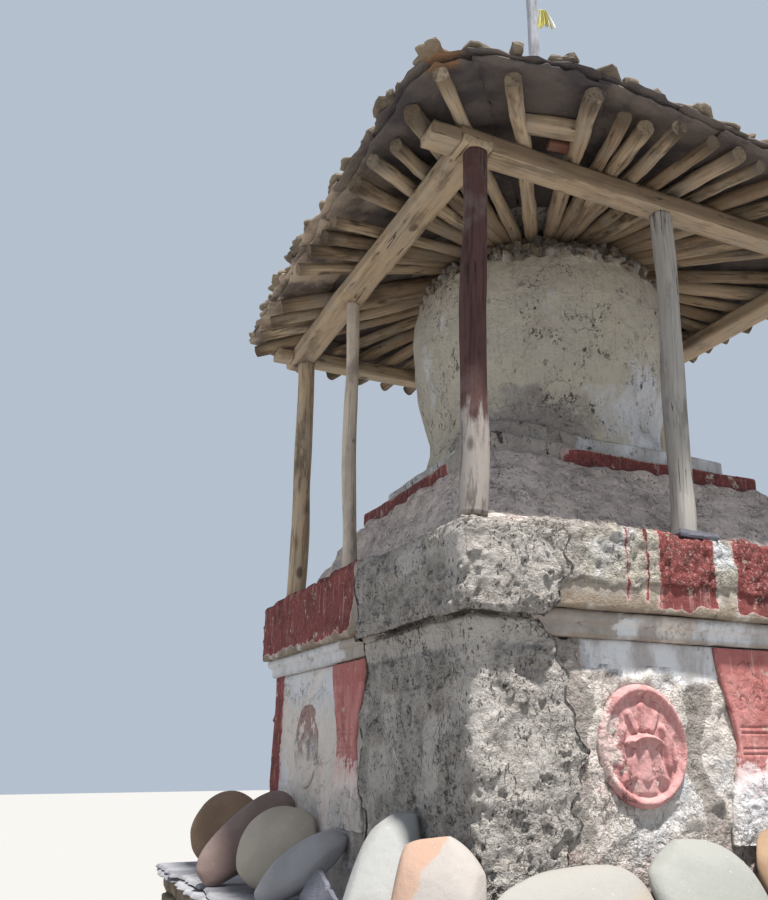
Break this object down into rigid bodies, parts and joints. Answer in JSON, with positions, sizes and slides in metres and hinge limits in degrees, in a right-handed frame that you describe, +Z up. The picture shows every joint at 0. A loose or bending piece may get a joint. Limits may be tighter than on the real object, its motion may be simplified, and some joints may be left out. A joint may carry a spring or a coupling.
{
  "type": "stupa",
  "caption": "Mud and stone stupa on a plinth, with a banded square base, plaster reliefs, steps, a bulb dome and a slate canopy on timber posts, beams and rafters, topped by a mast.",
  "frame": {"origin": "on the ground, under the middle of the plinth", "axes": "+Z up; the front face looks along -Y and the left face along -X"},
  "size_m": [4.3, 4.3, 7.75],
  "materials": {
    "rubble": "rough dry stone walling with mud",
    "slate": "split slate, dusty, with some orange lichen",
    "whitewash": "old whitewash on cracked mud plaster",
    "red_plaster": "flaking red ochre paint on mud plaster",
    "red_relief": "faded red ochre on modelled plaster",
    "faded_relief": "worn brown wash on modelled plaster",
    "raw_mud": "rough grey mud with straw and cracks",
    "weathered_timber": "weathered bare poplar with drying cracks",
    "dark_timber": "dark reddish brown, worn pale at the foot",
    "mast_timber": "sun bleached wood",
    "cloth": "faded yellow and white cotton rag",
    "river_stone": "smooth water worn stone"
  },
  "bodies": {
    "root": {"plinth": "rubble", "coping": "slate", "base_wall": "whitewash", "moulding": "whitewash", "frieze": "red_plaster", "mud_repair": "raw_mud", "medallion_front_left": "red_relief", "medallion_front_right": "red_relief", "medallion_right_left": "red_relief", "medallion_right_right": "red_relief", "medallion_back_left": "red_relief", "medallion_back_right": "red_relief", "medallion_left_left": "faded_relief", "pilaster_front": "red_relief", "pilaster_right": "red_relief", "pilaster_back": "red_relief", "pilaster_left": "red_relief", "post_near_corner": "dark_timber", "post_front_middle": "weathered_timber", "post_front_right": "weathered_timber", "post_right_middle": "weathered_timber", "post_back_right": "weathered_timber", "post_back_middle": "weathered_timber", "post_back_left": "weathered_timber", "post_left_middle": "weathered_timber", "mud_bank": "raw_mud", "red_step": "red_plaster", "white_step": "whitewash", "dome": "whitewash", "beam_front": "weathered_timber", "beam_back": "weathered_timber", "beam_left": "weathered_timber", "beam_right": "weathered_timber", "rafters_front": "weathered_timber", "rafters_right": "weathered_timber", "rafters_back": "weathered_timber", "rafters_left": "weathered_timber", "slates_front": "slate", "slates_right": "slate", "slates_back": "slate", "slates_left": "slate", "roof_earth": "raw_mud", "harmika": "whitewash", "harmika_cap": "slate", "finial_cone": "whitewash", "mast": "mast_timber", "mast_cloth": "cloth", "stone_brown_far": "river_stone", "stone_mauve": "river_stone", "stone_grey_round": "river_stone", "stone_grey_long": "river_stone", "stone_light_tall": "river_stone", "stone_peach": "river_stone", "stone_cream": "river_stone", "stone_green_grey": "river_stone", "stone_brown": "river_stone"}
  },
  "joints": []
}
